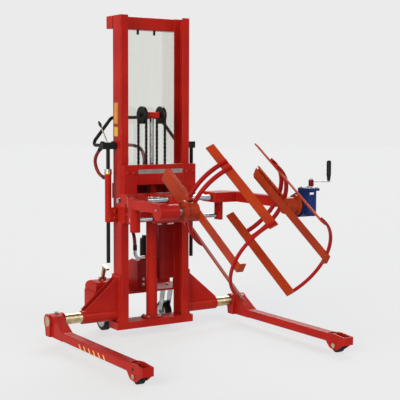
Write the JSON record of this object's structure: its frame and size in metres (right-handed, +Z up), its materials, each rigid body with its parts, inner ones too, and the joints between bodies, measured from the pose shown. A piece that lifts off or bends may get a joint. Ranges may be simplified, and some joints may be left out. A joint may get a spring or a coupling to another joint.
{
  "type": "drum tipper",
  "caption": "Straddle-leg hydraulic hand stacker whose lifting carriage holds a pair of tilting clamp jaws for lifting and pouring drums, with a worm gearbox and hand crank",
  "frame": {"origin": "on the floor, under the centre of the bounding box", "axes": "+Z up; -Y forward, the way the legs and jaws point; +X the far side, with the gearbox and crank"},
  "size_m": [1.454, 1.8466, 2.02],
  "materials": {
    "red_paint": "gloss red enamel",
    "hoop_red_paint": "gloss dark red enamel",
    "dark_red_paint": "gloss dark red enamel",
    "clear_sheet": "clear polycarbonate sheet",
    "black_plastic": "moulded black plastic",
    "black_tube": "black powder coat",
    "brass": "turned brass",
    "hose_rubber": "maroon rubber hose",
    "zinc_yellow": "yellow-passivated zinc plate",
    "black_tyre": "black solid tyre",
    "chrome": "hard chrome",
    "steel": "bright steel",
    "black_iron": "black cast iron",
    "chain_steel": "oiled leaf chain",
    "nylon": "natural nylon",
    "grey_barrel": "dark red enamel",
    "blue_paint": "dark blue enamel"
  },
  "bodies": {
    "frame": {"mast_upright_near": "red_paint", "mast_upright_far": "red_paint", "mast_cross_members": "red_paint", "base_sill": "red_paint", "clear_screen": "clear_sheet", "screen_clips": "black_plastic", "leg_sleeve_near": "red_paint", "leg_sleeve_far": "red_paint", "rear_deck": "red_paint", "pump_housing": "red_paint", "pump_block": "dark_red_paint", "pump_motor": "black_plastic", "oil_tank": "dark_red_paint", "lift_cylinder": "red_paint", "cylinder_gland": "steel", "chain_rear_falls": "chain_steel", "handle_posts": "black_tube", "post_sleeves": "red_paint", "post_collars": "brass", "valve_block": "black_plastic", "push_handle": "black_tube", "valve_hose": "hose_rubber", "pump_hose": "hose_rubber"},
    "near_leg": {"leg_beam_near": "red_paint", "leg_shaft_near": "zinc_yellow"},
    "far_leg": {"leg_beam_far": "red_paint", "leg_shaft_far": "zinc_yellow"},
    "near_roller": {"leg_roller_near": "black_tyre"},
    "far_roller": {"leg_roller_far": "black_tyre"},
    "near_caster": {"caster_fork_near": "zinc_yellow"},
    "far_caster": {"caster_fork_far": "zinc_yellow"},
    "near_caster_wheel": {"caster_wheel_near": "black_tyre"},
    "far_caster_wheel": {"caster_wheel_far": "black_tyre"},
    "release": {"release_lever": "zinc_yellow"},
    "valve_handle": {"valve_lever": "steel", "lever_knob": "black_plastic"},
    "lift_head": {"piston_rod": "chrome", "crosshead": "red_paint", "chain_wraps": "chain_steel", "chain_front_falls": "chain_steel"},
    "near_sheave": {"sheave_near": "black_iron"},
    "far_sheave": {"sheave_far": "black_iron"},
    "carriage": {"carriage_frame": "red_paint", "guide_shoes": "nylon", "guide_shafts": "chrome", "clamp_cylinder": "grey_barrel"},
    "near_arm": {"arm_near": "red_paint", "clamp_rod_near": "chrome"},
    "far_arm": {"arm_far": "red_paint", "clamp_rod_far": "chrome", "tilt_gearbox": "blue_paint"},
    "near_jaw": {"jaw_staves_near": "red_paint", "jaw_hoops_near": "hoop_red_paint", "pivot_shaft_near": "steel"},
    "far_jaw": {"jaw_staves_far": "red_paint", "jaw_hoops_far": "hoop_red_paint", "pivot_shaft_far": "steel"},
    "crank": {"crank_hub": "red_paint", "crank_shaft": "steel"},
    "crank_handle": {"crank_grip": "black_plastic"}
  },
  "joints": [
    {"name": "rod_lift", "type": "slide", "parent": "frame", "child": "lift_head", "axis": [0, 0, 1], "range_m": [-0.2, 0.45], "deforming": ["chain_rear_falls"]},
    {"name": "carriage_lift", "type": "slide", "parent": "lift_head", "child": "carriage", "axis": [0, 0, 1], "range_m": [-0.2, 0.45], "deforming": ["chain_front_falls"]},
    {"name": "near_sheave_turn", "type": "hinge", "parent": "lift_head", "child": "near_sheave", "pos_m": [-0.068, 0.60634, 1.403], "axis": [1, 0, 0], "range_deg": [-511, 229]},
    {"name": "far_sheave_turn", "type": "hinge", "parent": "lift_head", "child": "far_sheave", "pos_m": [0.068, 0.60634, 1.403], "axis": [1, 0, 0], "range_deg": [-511, 229]},
    {"name": "clamp_near", "type": "slide", "parent": "carriage", "child": "near_arm", "axis": [-1, 0, 0], "range_m": [0, 0.08]},
    {"name": "clamp_far", "type": "slide", "parent": "carriage", "child": "far_arm", "axis": [1, 0, 0], "range_m": [0, 0.08]},
    {"name": "tilt_far", "type": "hinge", "parent": "far_arm", "child": "far_jaw", "pos_m": [0, -0.39166, 0.89], "axis": [1, 0, 0], "range_deg": [-123, 57]},
    {"name": "tilt_near", "type": "hinge", "parent": "near_arm", "child": "near_jaw", "pos_m": [0, -0.39166, 0.89], "axis": [1, 0, 0], "range_deg": [-123, 57]},
    {"name": "crank_turn", "type": "hinge", "parent": "far_arm", "child": "crank", "pos_m": [0.435, -0.46926, 0.99], "axis": [0, 0, 1], "range_deg": [-3690, 1710]},
    {"name": "grip_spin", "type": "hinge", "parent": "crank", "child": "crank_handle", "pos_m": [0.51692, -0.52662, 1.034], "axis": [0, 0, 1], "continuous": true},
    {"name": "near_leg_slide", "type": "slide", "parent": "frame", "child": "near_leg", "axis": [-1, 0, 0], "range_m": [-0.11, 0.06]},
    {"name": "near_roller_spin", "type": "hinge", "parent": "near_leg", "child": "near_roller", "pos_m": [-0.678, -0.44366, 0.0425], "axis": [1, 0, 0], "continuous": true},
    {"name": "near_caster_swivel", "type": "hinge", "parent": "frame", "child": "near_caster", "pos_m": [-0.228, 0.79634, 0.2547], "axis": [0, 0, 1], "continuous": true},
    {"name": "near_caster_spin", "type": "hinge", "parent": "near_caster", "child": "near_caster_wheel", "pos_m": [-0.228, 0.83634, 0.075], "axis": [1, 0, 0], "continuous": true},
    {"name": "far_leg_slide", "type": "slide", "parent": "frame", "child": "far_leg", "axis": [1, 0, 0], "range_m": [-0.11, 0.06]},
    {"name": "far_roller_spin", "type": "hinge", "parent": "far_leg", "child": "far_roller", "pos_m": [0.678, -0.44366, 0.0425], "axis": [1, 0, 0], "continuous": true},
    {"name": "far_caster_swivel", "type": "hinge", "parent": "frame", "child": "far_caster", "pos_m": [0.228, 0.79634, 0.2547], "axis": [0, 0, 1], "continuous": true},
    {"name": "far_caster_spin", "type": "hinge", "parent": "far_caster", "child": "far_caster_wheel", "pos_m": [0.228, 0.83634, 0.075], "axis": [1, 0, 0], "continuous": true},
    {"name": "valve_shift", "type": "hinge", "parent": "frame", "child": "valve_handle", "pos_m": [-0.306, 0.61834, 1.224], "axis": [1, 0, 0], "range_deg": [-15, 15], "stiffness_Nm_per_rad": 3},
    {"name": "release_push", "type": "hinge", "parent": "frame", "child": "release", "pos_m": [-0.268, 0.77734, 0.356], "axis": [1, 0, 0], "range_deg": [-4, 20], "stiffness_Nm_per_rad": 6}
  ],
  "couplings": [
    {"joint": "carriage_lift", "follows": "rod_lift", "ratio": 1},
    {"joint": "near_sheave_turn", "follows": "rod_lift", "rad_per_m": -19.685},
    {"joint": "far_sheave_turn", "follows": "rod_lift", "rad_per_m": -19.685},
    {"joint": "clamp_far", "follows": "clamp_near", "ratio": 1},
    {"joint": "tilt_near", "follows": "tilt_far", "ratio": 1},
    {"joint": "crank_turn", "follows": "tilt_far", "ratio": 30}
  ]
}
